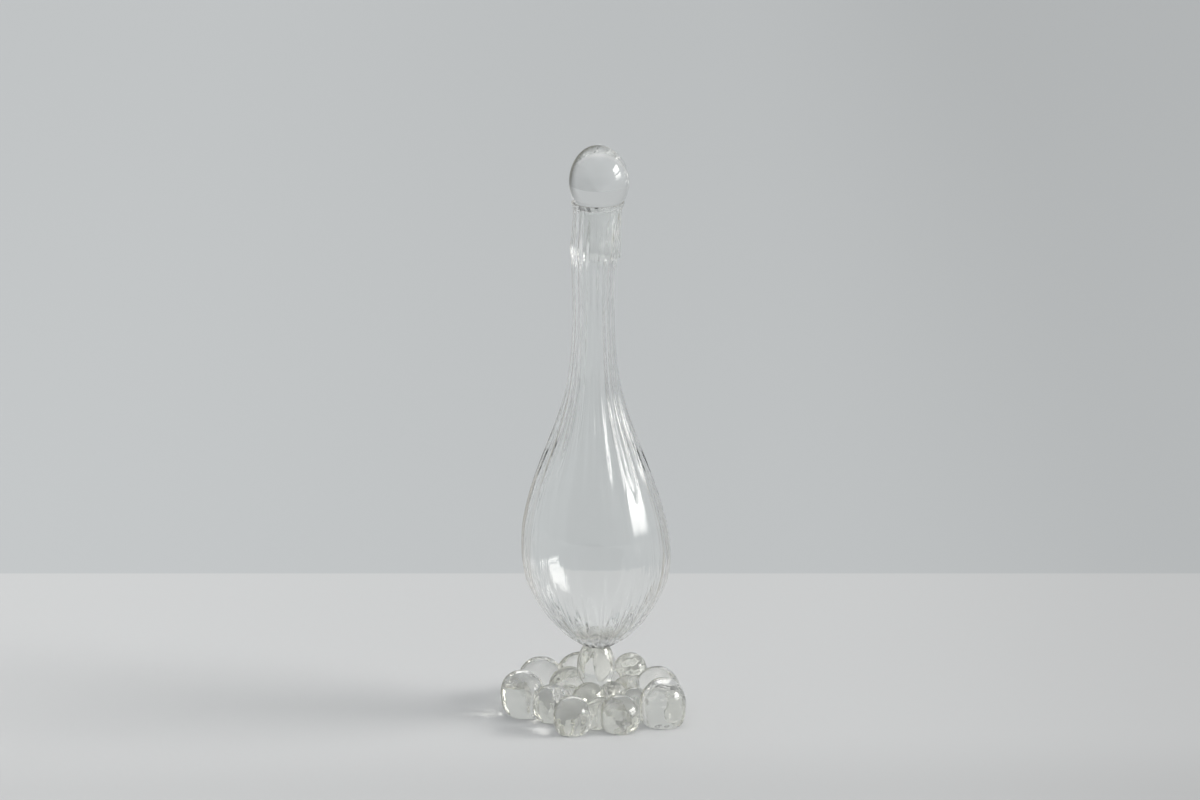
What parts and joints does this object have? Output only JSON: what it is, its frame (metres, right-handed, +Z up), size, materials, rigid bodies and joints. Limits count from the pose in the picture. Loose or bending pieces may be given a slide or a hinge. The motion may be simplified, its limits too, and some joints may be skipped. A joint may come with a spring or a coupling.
{
  "type": "carafe",
  "caption": "Clear ribbed glass carafe with a drop-shaped bowl, long neck, egg stopper and a foot of fused glass balls.",
  "frame": {"origin": "on the table, in the flat underside of the foot's core ball, under the axis of the bowl", "axes": "+Z up along the bottle, -Y towards the front as pictured, +X to the right"},
  "size_m": [0.1232, 0.1057, 0.386],
  "materials": {
    "bottle_glass": "clear blown glass with soft optic ribs and a fire-polished lip",
    "stopper_glass": "clear solid glass, polished egg on a ground peg",
    "knop_glass": "clear solid glass with a faint warm grey-green cast",
    "foot_glass": "clear solid glass balls, fused, with smooth flattened undersides"
  },
  "bodies": {
    "carafe": {"bottle": "bottle_glass", "stem_knop": "knop_glass", "pebble_core": "foot_glass", "pebble_front_left": "foot_glass", "pebble_front_middle": "foot_glass", "pebble_front_right": "foot_glass", "pebble_right": "foot_glass", "pebble_back_right": "foot_glass", "pebble_far_right": "foot_glass", "pebble_top_right": "foot_glass", "pebble_back": "foot_glass", "pebble_back_left": "foot_glass", "pebble_far_left": "foot_glass", "pebble_left": "foot_glass", "pebble_near_left": "foot_glass", "pebble_inner_left": "foot_glass", "pebble_inner_near_left": "foot_glass", "pebble_inner_front": "foot_glass", "pebble_inner_front_right": "foot_glass", "pebble_inner_right": "foot_glass", "pebble_inner_back_right": "foot_glass"},
    "stopper": {"stopper": "stopper_glass"}
  },
  "joints": [
    {"name": "stopper_lift", "type": "slide", "parent": "carafe", "child": "stopper", "axis": [0.0599, 0, 0.9982], "range_m": [0, 0.08]}
  ]
}
